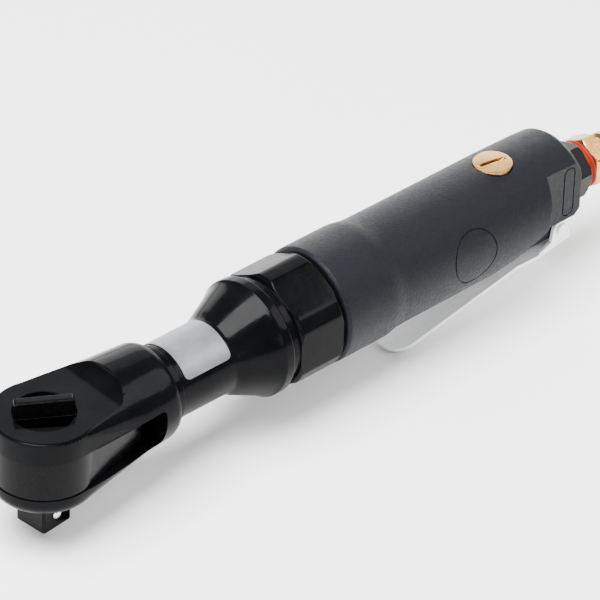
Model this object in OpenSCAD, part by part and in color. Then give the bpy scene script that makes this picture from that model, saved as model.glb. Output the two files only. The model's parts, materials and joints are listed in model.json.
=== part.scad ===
/* [Square drive] */
// Across flats of the square drive
drive_af = 12.7; // [12.6:0.05:12.8]
// Length of the square drive below the head
drive_len = 13.4; // [12:0.1:16]
// Angle at which the spindle rests
spindle_rest = 5; // [0:1:10]

/* [Ratchet head] */
// Radius of the rounded nose
head_r = 18.2; // [18:0.1:19]
// Height of the flat top above the tool axis
head_top = 13.1; // [12.8:0.1:13.6]
// Depth of the underside below the tool axis
head_bottom = 17.2; // [17:0.1:18]
// Upper side of the yoke slot above the tool axis
slot_top = 4.7; // [4.6:0.05:5]
// Lower side of the yoke slot below the tool axis
slot_bottom = 10; // [9.8:0.05:10.4]
// Radius of the neck
neck_r = 13.4; // [13:0.1:14]
// Radius of the flange behind the cone
flange_r = 21.2; // [20.8:0.1:21.6]

/* [Reverse knob] */
// Height of the thumb rib above the head
rib_h = 5.4; // [4:0.1:6]
// Thickness of the thumb rib
rib_t = 3.6; // [3:0.1:5]
// Angle of the rib to the tool axis at rest
rib_angle = -32; // [-34:1:-28]

/* [Handle] */
// Length from the spindle axis to the handle's rear face
handle_end = 233; // [232:0.5:235]
// Radius at the front of the handle
handle_front_r = 21.3; // [21:0.1:22]
// Radius at the waist and along the grip
handle_r = 20.1; // [19.8:0.1:20.6]

/* [Throttle lever] */
// Angle of the released lever to the tool axis
lever_angle = 10.5; // [10:0.1:11]
// Length of the lever in front of its pin
lever_len = 78; // [70:1:80]
// Width of the lever blade
lever_w = 15.2; // [14:0.1:15.6]
// Thickness of the lever sheet
sheet_t = 1.5; // [1.2:0.1:1.6]

/* [Air motor] */
// Eccentricity of the crank pin
crank_e = 3; // [2.6:0.1:3.1]
// Number of vanes
vane_count = 5; // [4:1:6]
// Module of the planetary gears
gear_module = 0.62; // [0.6:0.005:0.625]

/* [Hidden] */
$fn = 64;
eps = 0.01;
gap = 0.05;                       // running clearance on a radius

spindle_r = 10.5;                 // spindle body inside the yoke
journal_r = 7.5;                  // spindle journal in the upper ear
recess_r = 10.6;                  // knob recess and lower ear bore
recess_floor = head_top - 4.1;
stem_r = 3;                       // reverse knob stem
knob_r = 10.3;
yoke_r = 17.8;
yoke_tooth_tip = 11.35;
yoke_tooth_root = 12.4;
yoke_teeth = 36;
yoke_flank = [[yoke_tooth_tip, 0.4], [yoke_tooth_root, 0.12]];
yoke_taper = 12.4;                // angle of the yoke's flanks to the tool axis
fork_half = 5.4;
bushing_x = 29;                   // distance from spindle axis to the drive bushing
bushing_r = 4.75;
bushing_len = 8;
pin_r = 3;                        // crank pin
slot_rear = 38;
pawl_pivot = 7.2;
pawl_tilt = 3.6;                  // pawl rock to either side of its middle
pawl_r = 10.9;

head_rear = 46;                   // rear rim of the head
neck_rear = 72;
cone_rear = 88;
flange_rear = 92;
spigot_rear = 104;
spigot_r = 17.8;
nut_front = 95.5;
nut_rear = 115;
nut_af = 39.6;
handle_front = 116.2;
socket_rear = 127.2;              // depth of the handle's front socket
motor_r = 17;                     // cylinder and end plates
front_plate_x = 111;
cylinder_x = 121;
rear_plate_x = 165;
motor_rear = 175;
rotor_r = 11.5;
rotor_shaft_r = 4;
rotor_offset = 1.5;               // offset of the cylinder bore above the rotor
cylinder_bore = rotor_r + rotor_offset + 0.2;
bearing_len = 6;
bearing_r = 9;
ball_pitch_r = 6.5;
race_ball_r = 1.22;
race_balls = 7;
dowel_z = -15.6;

sun_teeth = 12;
planet_teeth = 15;
ring_teeth = sun_teeth + 2 * planet_teeth;
planet_orbit = gear_module * (sun_teeth + planet_teeth) / 2;
planet_x = 86;
planet_len = 9;
planet_angles = [90, 210, 330];

journal_crank_r = 6;
neck_bore = 9.05;

valve_x = 202;                    // vertical throttle valve bore
valve_r = 6;
valve_floor = -5.9;
valve_ball_r = 4.2;
valve_bushing_r = 4.6;
valve_bushing_z = [-18.6, -9.5];
seat_hole_r = 3.2;
plunger_r = 2.6;
plunger_stem_r = 1.5;
regulator_r = 6.9;
lever_pin_x = 228.5;
lever_pin_z = -15.3;
lever_drop = 4.33;                // lever pin to the top of the blade
lever_pin_r = 1.5;
block_half = 7.45;                // half width of the lever pin block
step_x = 211.7;                   // step in front of the side flats, at the height of the axis
step_lean = 14;
channel_z = -18.9;                // roof of the lever channel
ledge_z = -8.2;                   // lower edge of the side flats
flat_half = 13.2;                 // half width across the side flats

bushing_hex_af = 18.6;
bushing_hex_turn = 15;
bushing_rear = 242;
seal_rear = 245.4;
seal_r = 8.9;
plug_hex_af = 17;
plug_hex_rear = 251.6;
plug_nose_x = 266;
plug_nose_r = 5;
plug_end = 275;

// ---------- helpers ----------

// The parts are drawn about the tool axis, which lies above the origin.
module on_axis() translate([0, 0, head_bottom]) children();

// Local +Z runs rearwards along the tool axis.
module along_x(x) translate([x, 0, 0]) rotate([0, 90, 0]) children();

module rod_x(x0, x1, r) along_x(x0) cylinder(h = x1 - x0, r = r);

module tube_x(x0, x1, r, bore) difference() {
    rod_x(x0, x1, r);
    rod_x(x0 - 1, x1 + 1, bore);
}

// profile is a list of [x, radius]
module turned_x(profile) rotate([0, 90, 0]) rotate_extrude() polygon([for (p = profile) [p[1], p[0]]]);

module hex_x(x0, x1, af) along_x(x0) cylinder(h = x1 - x0, r = af / 2 / cos(30), $fn = 6);

module rod_y(x, z, r, half) translate([x, 0, z]) rotate([90, 0, 0])
    cylinder(h = 2 * half, r = r, center = true);

module block(low, high) translate(low) cube(high - low);

// A gear outline: each tooth is given by [radius, half width as a share of the pitch]
function tooth_ring(teeth, flank) = [for (i = [0 : teeth - 1], s = [-1, 1], k = [0 : len(flank) - 1])
    let (f = flank[s < 0 ? k : len(flank) - 1 - k], a = (i + s * f[1]) * 360 / teeth)
    f[0] * [cos(a), sin(a)]];

function outer_flank(teeth) = let (r = teeth * gear_module / 2)
    [[r - 1.15 * gear_module, 0.32], [r, 0.22], [r + 0.8 * gear_module, 0.1]];

function inner_flank(teeth) = let (r = teeth * gear_module / 2)
    [[r - 0.7 * gear_module, 0.37], [r, 0.28], [r + 1.2 * gear_module, 0.17]];

// A round wire wound into a coil that stands on the XY plane
module coil_spring(r, wire, turns, height, steps = 12, sides = 6) {
    rings = turns * steps;
    points = [for (i = [0 : rings], k = [0 : sides - 1])
        let (a = i * 360 / steps, b = k * 360 / sides, d = r + wire * cos(b))
        [d * cos(a), d * sin(a), wire + (height - 2 * wire) * i / rings + wire * sin(b)]];
    side_faces = [for (i = [0 : rings - 1], k = [0 : sides - 1]) let (n = (k + 1) % sides)
        [i * sides + k, (i + 1) * sides + k, (i + 1) * sides + n, i * sides + n]];
    polyhedron(points, concat([[for (k = [0 : sides - 1]) k]], side_faces,
        [[for (k = [sides - 1 : -1 : 0]) rings * sides + k]]), convexity = 10);
}

// ---------- ratchet head ----------

module nose(r) {
    edge = 5;
    rotate_extrude() polygon(concat([[0, -head_bottom]],
        [for (a = [0 : 15 : 90]) [r - edge + edge * sin(a), -head_bottom + edge * (1 - cos(a))]],
        [[r, head_top - 1.2], [r - 0.4, head_top - 0.4], [r - 1.2, head_top], [0, head_top]]));
}

module head_outside() {
    turned_x([[1, 0], [1, head_r - 0.3], [8, 18.8], [20, 18.7], [31, 18.2], [43, 17.4],
        [45.2, 16.7], [head_rear, 15.3], [head_rear, neck_r + 0.9], [49, neck_r + 0.9], [49.4, neck_r],
        [neck_rear, neck_r], [neck_rear + 1.6, neck_r + 0.5], [neck_rear + 3, neck_r + 1.5],
        [cone_rear - 1.2, flange_r - 1], [cone_rear, flange_r], [flange_rear - 0.6, flange_r],
        [flange_rear, flange_r - 0.6], [flange_rear, spigot_r], [spigot_rear, spigot_r], [spigot_rear, 0]]);
    nose(head_r);
    flank_end = 34;
    hull() {
        nose(head_r - 0.1, $fn = 48);
        rod_x(flank_end, flank_end + 0.4, 17.8, $fn = 48);
    }
}

module yoke_slot() {
    corner = 2;
    block([-30, -30, -slot_bottom], [slot_rear - corner, 30, slot_top]);
    block([0, -30, -slot_bottom + corner], [slot_rear, 30, slot_top - corner]);
    for (z = [-slot_bottom + corner, slot_top - corner]) rod_y(slot_rear - corner, z, corner, 30);
}

module top_relief() {
    flat_end = 19.5;
    scallop_r = 7;
    block([-30, -30, head_top], [flat_end, 30, 40]);
    rod_y(flat_end, head_top + scallop_r, scallop_r, 30);
}

module ratchet_housing() color("black") on_axis() difference() {
    head_outside();
    top_relief();
    block([-30, -30, -40], [head_rear, 30, -head_bottom]);
    yoke_slot();
    translate([0, 0, -30]) cylinder(h = 30 + slot_top - 1, r = recess_r);
    cylinder(h = 30, r = journal_r + gap);
    translate([0, 0, recess_floor]) cylinder(h = 30, r = recess_r);
    translate([0, 0, -head_bottom + 0.9]) cylinder(h = 1.3, r = 11.7);
    rod_x(24, head_rear + 1, 10);
    rod_x(head_rear, 80, neck_bore);
    turned_x([[76, 0], [76, 10], [81, 15.5], [81, 16], [spigot_rear + 1, 16], [spigot_rear + 1, 0]]);
}

module rating_label() color("silver") on_axis() along_x(51.5) rotate([0, 0, 120])
    rotate_extrude(angle = 120) translate([neck_r + 0.02, 0]) square([0.18, 20]);

module ratchet_yoke() color("black") on_axis() translate([0, 0, -slot_bottom + 0.15])
    linear_extrude(slot_top + slot_bottom - 0.3) difference() {
        union() {
            circle(r = yoke_r);
            flank_r = yoke_r - 0.2;
            end_x = 34.5;
            end_y = flank_r / cos(yoke_taper) - end_x * tan(yoke_taper);
            polygon([flank_r * [sin(yoke_taper), cos(yoke_taper)], [end_x - 2, end_y + 2 * tan(yoke_taper)],
                [end_x, end_y - 2], [end_x, 2 - end_y], [end_x - 2, -end_y - 2 * tan(yoke_taper)],
                flank_r * [sin(yoke_taper), -cos(yoke_taper)]]);
        }
        rotate(spindle_rest) polygon(tooth_ring(yoke_teeth, yoke_flank));
        translate([18 + fork_half, 0]) circle(r = fork_half);
        translate([18 + fork_half, -fork_half]) square([30, 2 * fork_half]);
    }

module ratchet_spindle() color("dimgray") on_axis() rotate([0, 0, spindle_rest]) difference() {
    union() {
        translate([0, 0, -14.3]) cylinder(h = 14.3 + slot_top - 0.2, r = spindle_r);
        translate([0, 0, slot_top - 0.3]) cylinder(h = recess_floor - slot_top, r = journal_r);
        translate([0, 0, -head_bottom]) cylinder(h = 4, r = 8.6);
        intersection() {
            translate([0, 0, -head_bottom - drive_len / 2 + 0.5])
                cube([drive_af, drive_af, drive_len + 1], center = true);
            translate([0, 0, -head_bottom - drive_len])
                cylinder(h = drive_len + 2, r1 = drive_af * 0.66, r2 = drive_af * 0.66 + drive_len + 2);
            translate([0, 0, -head_bottom - drive_len]) cylinder(h = drive_len + 2, r = drive_af * 0.68);
        }
    }
    translate([0, 0, -7.4]) cylinder(h = 30, r = stem_r + gap);
    block([-8.4, 3.6, -6.6], [8.4, 20, 2.1]);
    block([-5, 0, -3.9], [5, 4, -0.5]);
    translate([0, pawl_pivot, -9.2]) cylinder(h = 13.2, r = 1.52);
    translate([0, 3.2, -head_bottom - 8.2]) rotate([90, 0, 0]) cylinder(h = 20, r = 2.55);
}

module thrust_washer() color("goldenrod") on_axis() translate([0, 0, -14.95]) difference() {
    cylinder(h = 0.6, r = 10.5);
    translate([0, 0, -1]) cylinder(h = 3, r = 8.75);
}

module spindle_snap_ring() color("silver") on_axis() translate([0, 0, -head_bottom + 0.95]) difference() {
    cylinder(h = 1.2, r = 11.6);
    translate([0, 0, -1]) cylinder(h = 4, r = 8.9);
    rotate([0, 0, 25]) block([0, -2.5, -1], [20, 2.5, 3]);
}

module reverse_knob() color("black") on_axis() {
    disc_top = head_top - 1.1;
    rib_top = head_top + rib_h;
    rotate([0, 0, rib_angle]) {
        translate([0, 0, recess_floor + gap]) cylinder(h = disc_top - recess_floor - gap, r = knob_r);
        intersection() {
            rotate_extrude() polygon([[0, recess_floor + 1], [knob_r - 0.2, recess_floor + 1],
                [knob_r - 0.2, rib_top - 0.9], [knob_r - 1.1, rib_top], [0, rib_top]]);
            union() {
                block([-20, -rib_t / 2, recess_floor + 1], [20, rib_t / 2, rib_top - 0.5]);
                block([-20, 0.5 - rib_t / 2, recess_floor + 1], [20, rib_t / 2 - 0.5, rib_top + 1]);
            }
        }
    }
    difference() {
        translate([0, 0, -7]) cylinder(h = recess_floor + 7.2, r = stem_r);
        rotate([0, 0, rib_angle]) translate([0, 0, -2.2]) rotate([-90, 0, 0]) cylinder(h = 20, r = 1.25);
    }
}

// The pawl rests tilted, with one of its ends thrown out towards the yoke's teeth.
module pawl() color("silver") on_axis() rotate([0, 0, spindle_rest]) translate([0, pawl_pivot, -6.4])
    rotate([0, 0, pawl_tilt]) translate([0, -pawl_pivot, 0]) linear_extrude(8.2) difference() {
        intersection() {
            circle(r = pawl_r);
            translate([-7.4, 4.7]) square([14.8, 8]);
        }
        translate([0, pawl_pivot]) circle(r = 1.56);
    }

module pawl_pin() color("silver") on_axis() rotate([0, 0, spindle_rest])
    translate([0, pawl_pivot, -9.1]) cylinder(h = 13, r = 1.5);

module pawl_plunger() color("silver") on_axis() rotate([0, 0, rib_angle]) translate([0, 0, -2.2])
    rotate([-90, 0, 0]) {
        translate([0, 0, 0.4]) cylinder(h = 3, r = 1.2);
        translate([0, 0, 3.3]) sphere(r = 1.2);
    }

module socket_ball() color("silver") on_axis() rotate([0, 0, spindle_rest])
    translate([0, 1.7 - drive_af / 2, -head_bottom - 8.2]) sphere(r = 2.5);

module socket_ball_spring() color("silver") on_axis() rotate([0, 0, spindle_rest])
    translate([0, 3.1, -head_bottom - 8.2]) rotate([90, 0, 0]) coil_spring(1.7, 0.3, 3, 4.3);

// ---------- crank and planetary stage ----------

module crankshaft() color("gray") on_axis() difference() {
    union() {
        translate([0, 0, -crank_e]) rod_x(bushing_x - bushing_len / 2 - 0.6, 37, pin_r);
        rod_x(36.4, 40.4, 8.4);
        translate([0, 0, -crank_e]) rod_x(bushing_x + bushing_len / 2 + 0.4, 37, pin_r + 1);
        rod_x(40, 82, journal_crank_r);
        rod_x(81.4, planet_x - 0.3, 12);
    }
    for (a = planet_angles) along_x(70) rotate([0, 0, a]) translate([planet_orbit, 0, 0])
        cylinder(h = 40, r = 1.75);
    rod_x(84, 90, 4.6);
}

module drive_bushing() color("goldenrod") on_axis() translate([0, 0, -crank_e]) difference() {
    half = bushing_len / 2;
    turned_x(concat([[bushing_x - half, 0]],
        [for (t = [-1 : 0.25 : 1]) [bushing_x + half * t, bushing_r - 0.65 * t * t]],
        [[bushing_x + half, 0]]));
    rod_x(20, 40, pin_r + gap);
}

module crank_needle_bearings() color("silver") on_axis() for (x = [48, 61])
    tube_x(x, x + 12, neck_bore - 0.03, journal_crank_r + gap);

module planet_pins() color("silver") on_axis() for (a = planet_angles)
    along_x(81.6) rotate([0, 0, a]) translate([planet_orbit, 0, 0])
        cylinder(h = planet_x + planet_len + 0.8 - 81.6, r = 1.7);

module planet_gear(a) color("silver") on_axis() along_x(planet_x) rotate([0, 0, a])
    translate([planet_orbit, 0, 0]) linear_extrude(planet_len) difference() {
        polygon(tooth_ring(planet_teeth, outer_flank(planet_teeth)));
        circle(r = 1.76);
    }

module planet_gear_1() planet_gear(planet_angles[0]);
module planet_gear_2() planet_gear(planet_angles[1]);
module planet_gear_3() planet_gear(planet_angles[2]);

module ring_gear() color("dimgray") on_axis() along_x(85.9) linear_extrude(11) difference() {
    circle(r = 15.95);
    rotate(planet_angles[0]) polygon(tooth_ring(ring_teeth, inner_flank(ring_teeth)));
}

// ---------- clamp nut ----------

module clamp_nut() color("black") on_axis() difference() {
    union() {
        rod_x(flange_rear + 0.15, nut_front + 1, 19.3);
        intersection() {
            hex_x(nut_front, nut_rear, nut_af);
            turned_x([[nut_front, 0], [nut_front, 20.1], [nut_front + 1.1, flange_r],
                [nut_rear - 1.1, flange_r], [nut_rear, 20.3], [nut_rear, 0]]);
        }
        rod_x(nut_rear - 1, socket_rear - 0.4, 18.3);
    }
    rod_x(80, spigot_rear + 0.3, spigot_r + gap);
    rod_x(spigot_rear, 140, motor_r + gap);
}

// ---------- air motor ----------

module motor_spacer() color("silver") on_axis()
    tube_x(spigot_rear + 0.3, front_plate_x - gap, motor_r, 14);

module air_ports(x0, x1) for (a = [-50, 50]) rotate([a, 0, 0]) translate([0, 0, 11]) rod_x(x0, x1, 1.3);

module dowel_hole(x0, x1) translate([0, 0, dowel_z]) rod_x(x0, x1, 0.82);

module end_plate(x0, x1, pocket_x0, pocket_x1) difference() {
    rod_x(x0, x1, motor_r);
    rod_x(x0 - 1, x1 + 1, rotor_shaft_r + 0.6);
    rod_x(pocket_x0, pocket_x1, bearing_r + 0.02);
    air_ports(x0 - 1, x1 + 1);
    dowel_hole(front_plate_x + 2, motor_rear - 2);
}

module front_end_plate() color("silver") on_axis()
    end_plate(front_plate_x, cylinder_x - gap, front_plate_x - 1, front_plate_x + bearing_len + 0.6);

module rear_end_plate() color("silver") on_axis()
    end_plate(rear_plate_x + gap, motor_rear, motor_rear - bearing_len - 0.6, motor_rear + 1);

module motor_cylinder() color("gray") on_axis() difference() {
    rod_x(cylinder_x, rear_plate_x, motor_r);
    translate([0, 0, rotor_offset]) rod_x(cylinder_x - 1, rear_plate_x + 1, cylinder_bore);
    dowel_hole(cylinder_x - 1, rear_plate_x + 1);
    for (x = [132 : 6 : 150]) translate([x, 0, -8]) rotate([-90, 0, 0]) cylinder(h = 30, r = 1.3);
}

module rotor() color("silver") on_axis() {
    difference() {
        rod_x(cylinder_x + 0.15, rear_plate_x - 0.15, rotor_r);
        for (i = [0 : vane_count - 1]) rotate([i * 360 / vane_count, 0, 0])
            block([cylinder_x - 1, -1.05, 5.8], [rear_plate_x + 1, 1.05, 20]);
    }
    rod_x(107, cylinder_x + 1, rotor_shaft_r);
    rod_x(rear_plate_x - 1, 177, rotor_shaft_r);
    rod_x(97, 108, 2.9);
    along_x(planet_x + 0.2) linear_extrude(12) polygon(tooth_ring(sun_teeth, outer_flank(sun_teeth)));
}

module rotor_vanes() color("saddlebrown") on_axis() for (i = [0 : vane_count - 1])
    rotate([i * 360 / vane_count, 0, 0])
        block([cylinder_x + 0.2, -1, 6], [rear_plate_x - 0.2, 1, rotor_r - 0.1]);

bearing_starts = [front_plate_x + 0.4, motor_rear - bearing_len - 0.4];

module bearing_outer_rings() color("silver") on_axis() for (x = bearing_starts)
    tube_x(x, x + bearing_len, bearing_r, ball_pitch_r + race_ball_r + 0.03);

module bearing_inner_rings() color("silver") on_axis() for (x = bearing_starts)
    tube_x(x, x + bearing_len, ball_pitch_r - race_ball_r - 0.03, rotor_shaft_r + 0.01);

module bearing_balls() color("silver") on_axis() for (x = bearing_starts, i = [0 : race_balls - 1])
    translate([x + bearing_len / 2, 0, 0]) rotate([i * 360 / race_balls, 0, 0])
        translate([0, 0, ball_pitch_r]) sphere(r = race_ball_r, $fn = 32);

module cylinder_dowel() color("silver") on_axis() translate([0, 0, dowel_z])
    rod_x(front_plate_x + 3, motor_rear - 3, 0.8);

module motor_gasket() color("dimgray") on_axis() difference() {
    tube_x(motor_rear + gap, motor_rear + 0.8, motor_r - 0.1, 5);
    air_ports(motor_rear - 1, motor_rear + 2);
}

// ---------- handle ----------

// The material taken away beside the rear block, on the side given by s
module side_cut(s, half, z0, z1) scale([1, s, 1]) intersection() {
    block([190, half, z0], [260, 40, z1]);
    translate([step_x, 0, 0]) rotate([0, step_lean, 0]) block([0, 0, -60], [90, 60, 60]);
}

// The slanted relief in front of the step, which clears the lever on both sides of the valve
module wing_cut(s) scale([1, s, 1]) intersection() {
    block([160, block_half, -60], [260, 40, 10]);
    translate([192, 0, -11.2]) rotate([0, -25, 0]) block([-60, 0, -60], [60, 60, 0]);
    translate([step_x + 1.2, 0, 0]) rotate([0, step_lean, 0]) block([-90, 0, -60], [0, 60, 60]);
}

module rear_corner_cut(s) scale([1, s, 1]) intersection() {
    block([220, block_half, -30], [240, 40, 0]);
    translate([handle_end + 0.4, 0, ledge_z - 0.4]) rotate([0, 45, 0]) cube([4.4, 90, 4.4], center = true);
}

module stadium_groove(s) scale([1, s, 1]) translate([226.8, flat_half, 3.4]) rotate([-90, 0, 0])
    translate([0, 0, -0.4]) linear_extrude(2) difference() {
        capsule(2.7, 7.3);
        capsule(2.2, 7.3);
    }

module round_groove() translate([176.2, 0, 0]) rotate([82, 0, 0]) difference() {
    cylinder(h = 30, r = 9.9);
    cylinder(h = 30, r = 9.4);
    rod_x(-15, 15, handle_r - 0.35);
}

module capsule(r, half) {
    for (s = [-1, 1]) translate([0, s * half]) circle(r = r, $fn = 32);
    square([2 * r, 2 * half], center = true);
}

module handle_outside() turned_x([[handle_front, 0], [handle_front, handle_front_r - 0.9],
    [handle_front + 1, handle_front_r], [137, handle_front_r - 0.05], [138.5, handle_front_r - 0.15],
    [143.5, handle_r + 0.2], [147, handle_r + 0.05], [160, handle_r], [205, handle_r - 0.05],
    [222, handle_r - 0.35], [handle_end - 3.6, handle_r - 0.7], [handle_end - 2, handle_r - 1.8],
    [handle_end - 0.7, handle_r - 3.3], [handle_end, handle_r - 4.9], [handle_end, 0]]);

module motor_housing() color("#2b2d30") on_axis() difference() {
    handle_outside();
    rod_x(100, socket_rear, 18.35);
    rod_x(120, motor_rear + 0.85, motor_r + gap);
    rod_x(170, 182, 13);
    for (s = [-1, 1]) {
        side_cut(s, flat_half, -40, 40);
        side_cut(s, block_half, -41, ledge_z);
        wing_cut(s);
        rear_corner_cut(s);
        stadium_groove(s);
    }
    round_groove();
    block([valve_x + 4, -block_half - eps, -40], [260, block_half + eps, channel_z]);
    rod_y(lever_pin_x, lever_pin_z, lever_pin_r + 0.02, 30);
    translate([valve_x, 0, -40]) cylinder(h = 41 + valve_floor, r = valve_bushing_r + 0.02);
    translate([valve_x, 0, valve_floor]) cylinder(h = 40, r = valve_r);
    translate([valve_x, 0, 13.9]) cylinder(h = 20, r = regulator_r + 0.1);
    translate([0, 0, -7.9]) rod_x(176, valve_x, 1.5);
    rod_x(valve_x, handle_end - 5, 5.2);
    rod_x(218, 240, 8.05);
    for (s = [-1, 1]) translate([0, 9.2 * s, 10.6]) rod_x(176, 240, 1.3);
}

// ---------- throttle ----------

cheek_mid = block_half + 0.25 + sheet_t / 2;

module lever_sheet() rotate([0, -lever_angle, 0]) translate([0, 0, -lever_drop - sheet_t])
    linear_extrude(sheet_t) {
        half = lever_w / 2;
        wide = cheek_mid + sheet_t / 2;
        tip_x = half - lever_len;
        translate([tip_x, 0]) circle(r = half);
        polygon([[tip_x, half], [-20, half], [-12, wide], [4, wide],
            [4, -wide], [-12, -wide], [-20, -half], [tip_x, -half]]);
    }

module lever_cheek(s) translate([0, s * cheek_mid, 0]) rotate([90, 0, 0])
    linear_extrude(sheet_t, center = true) difference() {
        union() {
            circle(r = 3.6);
            foot = -lever_drop - sheet_t / 2;
            rotate(lever_angle) polygon([[-11, foot], [-11, 0.5 - lever_drop], [-5, 1.4 - lever_drop],
                [-3.2, 1.6], [2.4, 2.7], [3.8, 0], [3.8, foot]]);
        }
        circle(r = lever_pin_r + gap);
    }

module throttle_lever() color("silver") on_axis() translate([lever_pin_x, 0, lever_pin_z]) {
    lever_sheet();
    for (s = [-1, 1]) lever_cheek(s);
}

module lever_pin() color("silver") on_axis() {
    reach = cheek_mid + sheet_t / 2 + 0.2;
    rod_y(lever_pin_x, lever_pin_z, lever_pin_r, reach);
    for (s = [-1, 1]) translate([lever_pin_x, s * (reach + 0.3), lever_pin_z]) rotate([90, 0, 0])
        cylinder(h = 0.8, r = 2.3, center = true);
}

lever_top_z = lever_pin_z - lever_drop / cos(lever_angle) - (lever_pin_x - valve_x) * tan(lever_angle);
seat_top = valve_floor + 2.1;
valve_ball_z = seat_top + sqrt(pow(valve_ball_r, 2) - pow(seat_hole_r, 2));

module valve_plunger() color("#222222") on_axis() translate([valve_x, 0, 0]) {
    tip = lever_top_z + 0.14 + plunger_r;
    shoulder = -13;
    translate([0, 0, tip]) sphere(r = plunger_r);
    translate([0, 0, tip]) cylinder(h = shoulder - tip, r = plunger_r);
    stem_top = valve_ball_z - valve_ball_r - 0.08;
    translate([0, 0, shoulder - 1]) cylinder(h = stem_top + 1 - shoulder, r = plunger_stem_r);
}

module valve_bushing() color("goldenrod") on_axis() translate([valve_x, 0, valve_bushing_z[0]]) difference() {
    cylinder(h = valve_bushing_z[1] - valve_bushing_z[0], r = valve_bushing_r);
    translate([0, 0, -1]) cylinder(h = 30, r = plunger_r + gap);
    translate([0, 0, 2]) cylinder(h = 1.5, r = 3.9);
}

module plunger_o_ring() color("#222222") on_axis() translate([valve_x, 0, valve_bushing_z[0] + 2.75])
    rotate_extrude() translate([3.26, 0]) circle(r = 0.6, $fn = 24);

module valve_seat() color("goldenrod") on_axis() translate([valve_x, 0, valve_floor + 0.05]) difference() {
    cylinder(h = seat_top - valve_floor - 0.05, r = valve_r - 0.03);
    translate([0, 0, -1]) cylinder(h = 10, r = seat_hole_r);
}

module valve_ball() color("silver") on_axis() translate([valve_x, 0, valve_ball_z + 0.02])
    sphere(r = valve_ball_r);

module valve_spring() color("silver") on_axis() translate([valve_x, 0, valve_ball_z + 2.4])
    coil_spring(4.1, 0.35, 3, 5.4 - valve_ball_z);

module air_regulator() color("goldenrod") on_axis() translate([valve_x, 0, 0]) difference() {
    union() {
        intersection() {
            translate([0, 0, 14]) cylinder(h = 10, r = regulator_r);
            translate([0, 0, handle_r + 0.3 - 60]) sphere(r = 60, $fn = 128);
        }
        translate([0, 0, 7.9]) cylinder(h = 6.2, r = valve_r - gap);
    }
    translate([0, 0, 10.3]) difference() {
        cylinder(h = 1.8, r = 8);
        translate([0, 0, -1]) cylinder(h = 4, r = 4.6);
    }
    rotate([0, 0, -11]) translate([0, 0, handle_r + 8.3]) rotate([90, 0, 0])
        cylinder(h = 1.3, r = 9.8, center = true);
}

module regulator_o_ring() color("#222222") on_axis() translate([valve_x, 0, 11.2])
    rotate_extrude() translate([5.32, 0]) circle(r = 0.64, $fn = 24);

// ---------- air inlet ----------

module air_inlet_bushing() color("#222222") on_axis() difference() {
    union() {
        rod_x(219, handle_end + 1, 8);
        intersection() {
            rotate([bushing_hex_turn, 0, 0]) hex_x(handle_end + 0.2, bushing_rear, bushing_hex_af);
            turned_x([[handle_end, 0], [handle_end + 0.2, 10.7], [bushing_rear - 0.8, 10.7],
                [bushing_rear, 9.5], [bushing_rear, 0]]);
        }
    }
    rod_x(210, 260, 4.6);
    rod_x(228, 260, 6.55);
    rod_x(210, 221.5, 6);
}

module inlet_screen() color("silver") on_axis() difference() {
    rod_x(220.4, 221.3, 5.9);
    rod_x(219, 223, 0.8);
    for (r = [2.3, 4.2], i = [0 : 3 * r - 1]) rotate([i * 360 / floor(3 * r), 0, 0])
        translate([0, 0, r]) rod_x(219, 223, 0.6);
}

// Two round ridges with a groove between them
module inlet_seal_ring() color("orangered") on_axis() difference() {
    ridge = (seal_rear - bushing_rear) / 4;
    turned_x(concat([[bushing_rear + gap, 0]],
        [for (m = [bushing_rear + ridge, seal_rear - ridge], a = [-75 : 25 : 75])
            [m + (ridge - gap) * sin(a), seal_r - ridge + ridge * cos(a)]],
        [[seal_rear - gap, 0]]));
    rod_x(230, 250, 6.65);
}

module plug_nipple() color("gold") on_axis() difference() {
    union() {
        rod_x(230, seal_rear + 1, 6.5);
        intersection() {
            hex_x(seal_rear, plug_hex_rear, plug_hex_af);
            turned_x([[seal_rear, 0], [seal_rear, 8.6], [seal_rear + 0.7, 9.6], [plug_hex_rear - 0.8, 9.6],
                [plug_hex_rear, 8.4], [plug_hex_rear, 0]]);
        }
        turned_x([[plug_hex_rear - 1, 0], [plug_hex_rear - 1, 5.6], [255.5, 5.6], [256.5, 6.9], [258.6, 6.9],
            [260.4, 4.9], [263, 4.9], [264.2, 5.9], [265.2, 5.9], [plug_nose_x, plug_nose_r],
            [plug_end - 0.8, plug_nose_r], [plug_end, plug_nose_r - 0.8], [plug_end, 0]]);
    }
    rod_x(220, 280, 3.6);
}

// ---------- output ----------

ratchet_housing();
rating_label();
clamp_nut();
ratchet_yoke();
ratchet_spindle();
thrust_washer();
spindle_snap_ring();
reverse_knob();
pawl();
pawl_pin();
pawl_plunger();
socket_ball();
socket_ball_spring();
crankshaft();
drive_bushing();
crank_needle_bearings();
planet_pins();
planet_gear_1();
planet_gear_2();
planet_gear_3();
ring_gear();
motor_spacer();
front_end_plate();
rear_end_plate();
motor_cylinder();
rotor();
rotor_vanes();
bearing_outer_rings();
bearing_inner_rings();
bearing_balls();
cylinder_dowel();
motor_gasket();
motor_housing();
throttle_lever();
lever_pin();
valve_plunger();
valve_bushing();
plunger_o_ring();
valve_seat();
valve_ball();
valve_spring();
air_regulator();
regulator_o_ring();
air_inlet_bushing();
inlet_screen();
inlet_seal_ring();
plug_nipple();
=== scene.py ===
import json
import math

import bmesh
import bpy
from mathutils import Matrix, Vector


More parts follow.
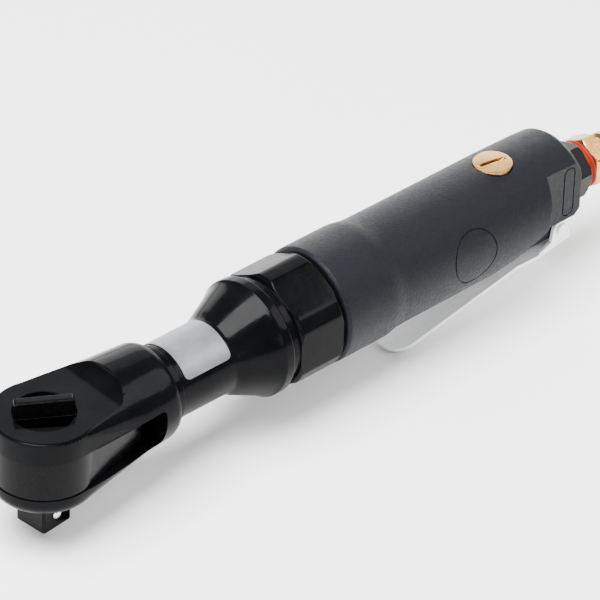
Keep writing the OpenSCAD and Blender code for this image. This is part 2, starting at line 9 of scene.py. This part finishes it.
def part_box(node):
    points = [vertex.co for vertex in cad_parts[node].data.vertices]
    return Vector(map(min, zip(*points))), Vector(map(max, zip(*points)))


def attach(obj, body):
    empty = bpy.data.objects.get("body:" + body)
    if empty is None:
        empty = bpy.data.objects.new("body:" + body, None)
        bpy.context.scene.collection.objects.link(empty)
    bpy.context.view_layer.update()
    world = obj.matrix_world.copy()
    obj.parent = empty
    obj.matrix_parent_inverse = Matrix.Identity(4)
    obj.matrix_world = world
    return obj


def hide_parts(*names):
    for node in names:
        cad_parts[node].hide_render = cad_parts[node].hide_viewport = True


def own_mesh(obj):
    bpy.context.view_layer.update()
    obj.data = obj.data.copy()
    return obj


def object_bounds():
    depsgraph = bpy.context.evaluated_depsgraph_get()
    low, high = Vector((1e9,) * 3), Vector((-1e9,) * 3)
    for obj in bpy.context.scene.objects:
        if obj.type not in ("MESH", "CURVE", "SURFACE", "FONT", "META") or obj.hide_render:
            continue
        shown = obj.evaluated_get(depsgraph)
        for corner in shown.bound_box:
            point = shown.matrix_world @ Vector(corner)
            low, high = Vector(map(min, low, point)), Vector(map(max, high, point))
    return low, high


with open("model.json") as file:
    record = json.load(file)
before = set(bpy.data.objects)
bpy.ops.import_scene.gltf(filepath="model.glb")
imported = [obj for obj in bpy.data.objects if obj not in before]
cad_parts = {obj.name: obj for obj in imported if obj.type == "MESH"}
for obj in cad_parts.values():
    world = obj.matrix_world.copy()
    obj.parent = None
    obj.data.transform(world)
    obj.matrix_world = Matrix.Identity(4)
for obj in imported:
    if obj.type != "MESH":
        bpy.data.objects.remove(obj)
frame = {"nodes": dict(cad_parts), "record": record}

cad_low, cad_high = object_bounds()

MM = 0.001
SLOTS = {part["node"]: part["material_slot"] for part in frame["record"]["subparts"]}
BODY_OF = {node: body for body, nodes in frame["record"]["behaviour"]["bodies"].items() for node in nodes}
AXIS_Z = next(m["pos_m"][2] for m in frame["record"]["mounts"] if m["name"] == "plug_nose")


# ---------- camera ----------

def make_camera():
    """A long lens from the tool's front left, rolled slightly so that the tool rises to the right."""
    azimuth, elevation, roll = math.radians(-43.94), math.radians(36.26), math.radians(2.03)
    distance = 2.0
    target = Vector((0.110, 0, AXIS_Z))
    back = Vector((math.sin(azimuth) * math.cos(elevation), -math.cos(azimuth) * math.cos(elevation),
                   math.sin(elevation)))
    right = Vector((math.cos(azimuth), math.sin(azimuth), 0))
    up = back.cross(right)
    right, up = (right * math.cos(roll) + up * math.sin(roll), up * math.cos(roll) - right * math.sin(roll))
    data = bpy.data.cameras.new("camera")
    data.lens = 358.7
    data.sensor_width = 36
    data.shift_x = 0.0116
    data.shift_y = 0.0220
    data.clip_start, data.clip_end = 0.1, 20
    cam = bpy.data.objects.new("camera", data)
    bpy.context.collection.objects.link(cam)
    cam.matrix_world = Matrix((right, up, back)).transposed().to_4x4()
    cam.location = target + back * distance
    bpy.context.scene.camera = cam


# ---------- materials ----------

class Recipe:
    """A procedural surface in the row's own metres, so its grain moves with the piece."""

    def __init__(self, name):
        self.mat = bpy.data.materials.new(name)
        self.mat.use_nodes = True
        self.tree = self.mat.node_tree
        self.shader = self.tree.nodes["Principled BSDF"]
        self.place = self.tree.nodes.new("ShaderNodeTexCoord").outputs["Object"]

    def node(self, kind, **values):
        n = self.tree.nodes.new(kind)
        for key, value in values.items():
            n.inputs[key].default_value = value
        return n

    def link(self, a, b):
        self.tree.links.new(a, b)

    def stretched(self, scale):
        m = self.node("ShaderNodeMapping", Scale=scale)
        self.link(self.place, m.inputs["Vector"])
        return m.outputs["Vector"]

    def noise(self, per_metre, detail=4, stretch=(1, 1, 1)):
        n = self.node("ShaderNodeTexNoise", Scale=per_metre, Detail=detail)
        self.link(self.stretched(stretch), n.inputs["Vector"])
        return n.outputs["Fac"]

    def ramp(self, fac, low, high, start=0.3, end=0.7):
        r = self.node("ShaderNodeValToRGB")
        r.color_ramp.elements[0].position = start
        r.color_ramp.elements[1].position = end
        r.color_ramp.elements[0].color = (*low, 1)
        r.color_ramp.elements[1].color = (*high, 1)
        self.link(fac, r.inputs["Fac"])
        return r.outputs["Color"]

    def spread(self, fac, low, high, start=0.3, end=0.7):
        m = self.node("ShaderNodeMapRange")
        for key, value in zip(("From Min", "From Max", "To Min", "To Max"), (start, end, low, high)):
            m.inputs[key].default_value = value
        self.link(fac, m.inputs["Value"])
        return m.outputs["Result"]

    def colour(self, socket):
        self.link(socket, self.shader.inputs["Base Color"])

    def roughness(self, socket):
        self.link(socket, self.shader.inputs["Roughness"])

    def relief(self, *layers):
        """layers are (height socket, depth in metres); the last one written is the topmost."""
        normal = None
        for height, depth in layers:
            b = self.node("ShaderNodeBump", Strength=1.0, Distance=depth)
            self.link(height, b.inputs["Height"])
            if normal:
                self.link(normal, b.inputs["Normal"])
            normal = b.outputs["Normal"]
        self.link(normal, self.shader.inputs["Normal"])

    def fixed(self, **values):
        for key, value in values.items():
            self.shader.inputs[key.replace("_", " ")].default_value = value


def enamel():
    """Thick glossy black enamel over a forging: soft orange peel and faint handling marks."""
    m = Recipe("black_enamel")
    m.fixed(Specular_IOR_Level=0.03, Coat_Weight=0.04, Coat_Roughness=0.04)
    m.colour(m.ramp(m.noise(90), (0.0010, 0.0011, 0.0014), (0.0024, 0.0025, 0.0030)))
    m.roughness(m.spread(m.noise(260, 6), 0.12, 0.24))
    m.relief((m.noise(380, 2), 0.00004), (m.noise(45, 2), 0.00012))
    return m.mat


def textured_coating():
    """Matt powder coating with a fine even pebble."""
    m = Recipe("pebbled_black_coating")
    m.fixed(Specular_IOR_Level=0.11)
    grain = m.noise(2300, 3)
    m.colour(m.ramp(grain, (0.0017, 0.0022, 0.0034), (0.0055, 0.0066, 0.0092)))
    m.roughness(m.spread(m.noise(700, 4), 0.36, 0.5))
    m.relief((grain, 0.00022), (m.noise(60, 2), 0.0002))
    return m.mat


def black_oxide():
    """Blackened machined steel: a dark oil-wet sheen with fine tool marks."""
    m = Recipe("black_oxide")
    m.fixed(Specular_IOR_Level=0.06)
    m.colour(m.ramp(m.noise(700, 5), (0.0012, 0.0012, 0.0015), (0.0026, 0.0026, 0.0030)))
    m.roughness(m.spread(m.noise(500, 6), 0.16, 0.26))
    m.relief((m.noise(900, 3), 0.00001), (m.noise(60, 2), 0.0001))
    return m.mat


def steel(name, low, high, rough):
    """Bare steel with fine scratches."""
    m = Recipe(name)
    m.fixed(Metallic=1.0)
    scratch = m.noise(500, 6, (1, 6, 6))
    m.colour(m.ramp(scratch, low, high))
    m.roughness(m.spread(m.noise(350, 6), *rough))
    m.relief((scratch, 0.00002))
    return m.mat


def satin_plate():
    """Satin plate on rolled sheet: bright, with fine lengthwise grain and slight waviness."""
    m = Recipe("satin_plate")
    m.fixed(Metallic=0.1)
    m.colour(m.ramp(m.noise(120), (0.95, 0.965, 0.98), (0.985, 0.99, 0.995)))
    m.roughness(m.spread(m.noise(900, 8, (0.15, 3, 3)), 0.24, 0.40))
    m.relief((m.noise(60, 2), 0.0002), (m.noise(1800, 3, (0.1, 2, 2)), 0.00002))
    return m.mat


def brass():
    """Turned brass with tool marks and a little tarnish."""
    m = Recipe("turned_brass")
    m.fixed(Metallic=1.0)
    m.colour(m.ramp(m.noise(240, 5), (0.46, 0.25, 0.07), (0.66, 0.40, 0.14)))
    m.roughness(m.spread(m.noise(800, 6), 0.14, 0.28))
    m.relief((m.noise(2200, 3, (4, 1, 1)), 0.00003))
    return m.mat


def foil():
    """Blank satin foil, faintly brushed along the tool."""
    m = Recipe("label_foil")
    m.fixed(Metallic=0.35)
    m.colour(m.ramp(m.noise(150, 5), (0.11, 0.116, 0.125), (0.16, 0.168, 0.18)))
    m.roughness(m.spread(m.noise(1200, 5, (0.2, 2, 2)), 0.3, 0.46))
    m.relief((m.noise(3000, 3), 0.00001), (m.noise(70, 2), 0.00008))
    return m.mat


def moulded(name, low, high, rough=(0.4, 0.6), specular=0.5):
    """Rubber, plastic, pressed fibre and the like, with a fine matt grain."""
    m = Recipe(name)
    m.fixed(Specular_IOR_Level=specular)
    m.colour(m.ramp(m.noise(400, 4), low, high))
    m.roughness(m.spread(m.noise(900, 4), *rough))
    m.relief((m.noise(1600, 3), 0.00004))
    return m.mat


def paint_nodes():
    """Gives each CAD node the finish of its material slot."""
    finishes = {
        "black_gloss": enamel(),
        "black_textured": textured_coating(),
        "blackened_steel": black_oxide(),
        "machined_steel": steel("machined_steel", (0.30, 0.30, 0.31), (0.48, 0.48, 0.49), (0.25, 0.42)),
        "bright_steel": steel("ground_steel", (0.55, 0.55, 0.56), (0.75, 0.75, 0.76), (0.12, 0.26)),
        "lever_chrome": satin_plate(),
        "label_foil": foil(),
        "brass": brass(),
        "seal_orange": moulded("orange_seal", (0.15, 0.009, 0.002), (0.24, 0.016, 0.003), (0.34, 0.50),
                               specular=0.1),
        "black_rubber": moulded("nitrile_rubber", (0.008, 0.008, 0.008), (0.02, 0.02, 0.02), (0.5, 0.7)),
        "black_plastic": moulded("black_acetal", (0.01, 0.01, 0.011), (0.022, 0.022, 0.024)),
        "phenolic": moulded("phenolic", (0.18, 0.08, 0.03), (0.32, 0.16, 0.07)),
        "gasket_fibre": moulded("gasket_fibre", (0.10, 0.10, 0.10), (0.2, 0.2, 0.2), (0.7, 0.9)),
    }
    for name, obj in frame["nodes"].items():
        obj.data.materials.clear()
        obj.data.materials.append(finishes[SLOTS[name]])
    return finishes


# ---------- where on the tool a point lies ----------

def radius(co):
    """Distance from the tool's long axis."""
    return math.hypot(co.y, co.z - AXIS_Z)


def everywhere(co):
    return True


def nowhere(co):
    return False


def head_rims(co):
    """The rim of the knob's recess and the rims behind the head, which are plain circles."""
    behind_head = co.x > 45 * MM
    recess = math.hypot(co.x, co.y) < 11 * MM and co.z > AXIS_Z + 13 * MM
    return behind_head or recess


def knob_top(co):
    """The knob without its stem, where the plunger's bore stays as drawn."""
    return co.z > AXIS_Z + 8.5 * MM


def outside_grooves(co):
    """The handle except the two narrow grooves in its side, whose edges stay as drawn."""
    round_x, oval_x, oval_z = 176.2 * MM, 226.8 * MM, AXIS_Z + 3.4 * MM
    round_mark = abs(co.x - round_x) < 10.6 * MM and co.y < -8 * MM and co.z > AXIS_Z - 9 * MM
    oval_mark = abs(co.x - oval_x) < 3 * MM and abs(co.z - oval_z) < 10.2 * MM
    return not (round_mark or oval_mark)


def head_turned(co):
    """The housing's surfaces turned about the tool's long axis: the head's body, neck, cone and flange."""
    return co.x > 46 * MM or radius(co) > 17 * MM


def nose_turned(co):
    """The head's nose, turned about the spindle's axis."""
    return co.x < 1 * MM and math.hypot(co.x, co.y) > 9 * MM


def grip_turned(co):
    """The handle's round outside."""
    return radius(co) > 19 * MM


# ---------- pieces that stand for CAD nodes ----------

def add_piece(name, mesh, node, finishes):
    """Puts a new mesh, drawn in the row frame, in the place of a CAD node."""
    mesh.materials.clear()
    mesh.materials.append(finishes[SLOTS[node]])
    obj = bpy.data.objects.new(name, mesh)
    bpy.context.collection.objects.link(obj)
    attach(obj, BODY_OF[node])
    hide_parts(node)
    return obj


def away(normal, face_normal, co, turned_x, turned_z):
    """The normal at a corner of a turned surface, straight away from its axis; elsewhere the one given."""
    facet = math.cos(math.radians(6))
    end_face = 0.2
    for is_turned, out, flat, along in (
            (turned_x, Vector((0, co.y, co.z - AXIS_Z)), Vector((0, face_normal.y, face_normal.z)), 0),
            (turned_z, Vector((co.x, co.y, 0)), Vector((face_normal.x, face_normal.y, 0)), 2)):
        if is_turned(co) and flat.length > end_face and out.length > 1 * MM:
            out.normalize()
            side = out.dot(flat.normalized())
            if abs(side) > facet:
                out *= math.copysign(math.sqrt(max(0.0, 1 - normal[along] ** 2)), side)
                out[along] = normal[along]
                return out
    return normal


def shade(mesh, turned_x, turned_z):
    """Corner normals: large faces count more, so flats stay flat, and turned surfaces are truly round."""
    same_surface = math.cos(math.radians(28))
    normal = [p.normal.copy() for p in mesh.polygons]
    area = [p.area for p in mesh.polygons]
    faces_of = [[] for _ in mesh.vertices]
    for i, p in enumerate(mesh.polygons):
        for v in p.vertices:
            faces_of[v].append(i)
    corners = []
    for i, p in enumerate(mesh.polygons):
        for v in p.vertices:
            total = Vector()
            for j in faces_of[v]:
                if normal[j].dot(normal[i]) > same_surface:
                    total += normal[j] * area[j]
            total = total.normalized() if total.length > 0 else normal[i]
            corners.append(away(total, normal[i], mesh.vertices[v].co, turned_x, turned_z))
    mesh.polygons.foreach_set("use_smooth", [True] * len(mesh.polygons))
    mesh.normals_split_custom_set(corners)


def eased(node, finishes, width, chosen=everywhere, turned_x=nowhere, turned_z=nowhere):
    """A copy of a CAD node whose hard edges are rounded off a little, as on a real tumbled or coated part."""
    hard_angle, flat_angle, weld = math.radians(32), math.radians(0.3), 0.001 * MM
    bm = bmesh.new()
    bm.from_mesh(frame["nodes"][node].data)
    bmesh.ops.remove_doubles(bm, verts=bm.verts, dist=weld)
    bmesh.ops.dissolve_limit(bm, angle_limit=flat_angle, verts=bm.verts, edges=bm.edges)
    hard = [e for e in bm.edges if len(e.link_faces) == 2 and e.calc_face_angle() > hard_angle
            and all(chosen(v.co) for v in e.verts)]
    bmesh.ops.bevel(bm, geom=hard, offset=width, segments=2, profile=0.5, affect="EDGES",
                    clamp_overlap=False, loop_slide=True)
    mesh = bpy.data.meshes.new(node + "_eased")
    bm.to_mesh(mesh)
    bm.free()
    shade(mesh, turned_x, turned_z)
    add_piece(node + "_eased", mesh, node, finishes)


def label_piece(finishes):
    """The foil label, wrapped round the neck, with rounded corners."""
    low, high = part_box("rating_label")
    points = [v.co for v in frame["nodes"]["rating_label"].data.vertices]
    outer = max(radius(co) for co in points)
    angles = [math.atan2(co.y, co.z - AXIS_Z) for co in points]
    start, end = min(angles), max(angles)
    middle, half = (start + end) / 2, (end - start) / 2
    corner, thickness = 2.0 * MM, 0.14 * MM
    columns, rows = 40, 40
    verts, faces = [], []
    for layer in (outer - thickness, outer):
        for i in range(columns + 1):
            # the columns are closer together at both ends, where the corners are
            t = 0.5 - 0.5 * math.cos(math.pi * i / columns)
            x = low.x + (high.x - low.x) * t
            inset = max(0.0, corner - min(x - low.x, high.x - x))
            cut = (corner - math.sqrt(max(0.0, corner ** 2 - inset ** 2))) / outer
            for j in range(rows + 1):
                a = middle + (half - cut) * (2 * j / rows - 1)
                verts.append((x, layer * math.sin(a), AXIS_Z + layer * math.cos(a)))

    def at(layer, i, j):
        return (layer * (columns + 1) + i) * (rows + 1) + j

    for i in range(columns):
        for j in range(rows):
            faces.append((at(1, i, j), at(1, i + 1, j), at(1, i + 1, j + 1), at(1, i, j + 1)))
            faces.append((at(0, i, j), at(0, i, j + 1), at(0, i + 1, j + 1), at(0, i + 1, j)))
    rim = ([(i, 0) for i in range(columns)] + [(columns, j) for j in range(rows)]
           + [(i, rows) for i in range(columns, 0, -1)] + [(0, j) for j in range(rows, 0, -1)])
    for a, b in zip(rim, rim[1:] + rim[:1]):
        faces.append((at(0, *a), at(0, *b), at(1, *b), at(1, *a)))
    mesh = bpy.data.meshes.new("label")
    mesh.from_pydata(verts, [], faces)
    mesh.validate()
    mesh.polygons.foreach_set("use_smooth", [True] * len(mesh.polygons))
    mesh.set_sharp_from_angle(angle=math.radians(40))
    add_piece("label", mesh, "rating_label", finishes)


def spring_piece(finishes):
    """The valve spring, as an unchanged copy of its CAD node's mesh."""
    coil = add_piece("valve_spring_coil", frame["nodes"]["valve_spring"].data.copy(), "valve_spring", finishes)
    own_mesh(coil)


def make_pieces(finishes):
    label_piece(finishes)
    spring_piece(finishes)
    eased("ratchet_housing", finishes, 0.35 * MM, head_rims, head_turned, nose_turned)
    eased("motor_housing", finishes, 0.35 * MM, outside_grooves, grip_turned)
    eased("reverse_knob", finishes, 0.25 * MM, knob_top)
    for node, width in (("clamp_nut", 0.3), ("ratchet_yoke", 0.25), ("ratchet_spindle", 0.3),
                        ("air_inlet_bushing", 0.3), ("throttle_lever", 0.25), ("air_regulator", 0.2),
                        ("plug_nipple", 0.2)):
        eased(node, finishes, width * MM)


# ---------- studio ----------

def make_floor():
    """A plain pale floor just below the tool's lowest point."""
    size = 6.0
    z = cad_low.z - 0.3 * MM
    mesh = bpy.data.meshes.new("floor")
    mesh.from_pydata([(-size, -size, z), (size, -size, z), (size, size, z), (-size, size, z)], [], [(0, 1, 2, 3)])
    floor = bpy.data.objects.new("floor", mesh)
    bpy.context.collection.objects.link(floor)
    m = Recipe("pale_floor")
    m.colour(m.ramp(m.noise(3), (0.90, 0.90, 0.90), (0.93, 0.93, 0.93)))
    m.fixed(Roughness=0.9)
    mesh.materials.append(m.mat)


def area_light(name, location, size, power):
    """A soft box that faces the middle of the tool."""
    target = Vector((0.12, 0, AXIS_Z))
    data = bpy.data.lights.new(name, "AREA")
    data.shape = "RECTANGLE"
    data.size, data.size_y = size
    data.energy = power
    light = bpy.data.objects.new(name, data)
    bpy.context.collection.objects.link(light)
    light.location = location
    light.rotation_mode = "QUATERNION"
    light.rotation_quaternion = (target - Vector(location)).to_track_quat("-Z", "Y")


def make_light():
    world = bpy.data.worlds.new("studio")
    world.use_nodes = True
    world.node_tree.nodes["Background"].inputs["Color"].default_value = (1, 1, 1, 1)
    world.node_tree.nodes["Background"].inputs["Strength"].default_value = 0.45
    bpy.context.scene.world = world
    area_light("overhead", (-0.30, -0.05, 1.2), (0.9, 0.9), 78)
    area_light("backdrop", (1.0, 1.1, 0.42), (2.0, 0.75), 24)
    area_light("high_back", (0.80, 0.83, 0.98), (1.0, 0.45), 3)
    area_light("right_key", (0.9, -0.60, 0.80), (0.7, 0.7), 11)
    area_light("low_front", (-0.9, -1.1, 0.30), (1.2, 0.4), 4)


make_pieces(paint_nodes())
make_floor()
make_light()
make_camera()
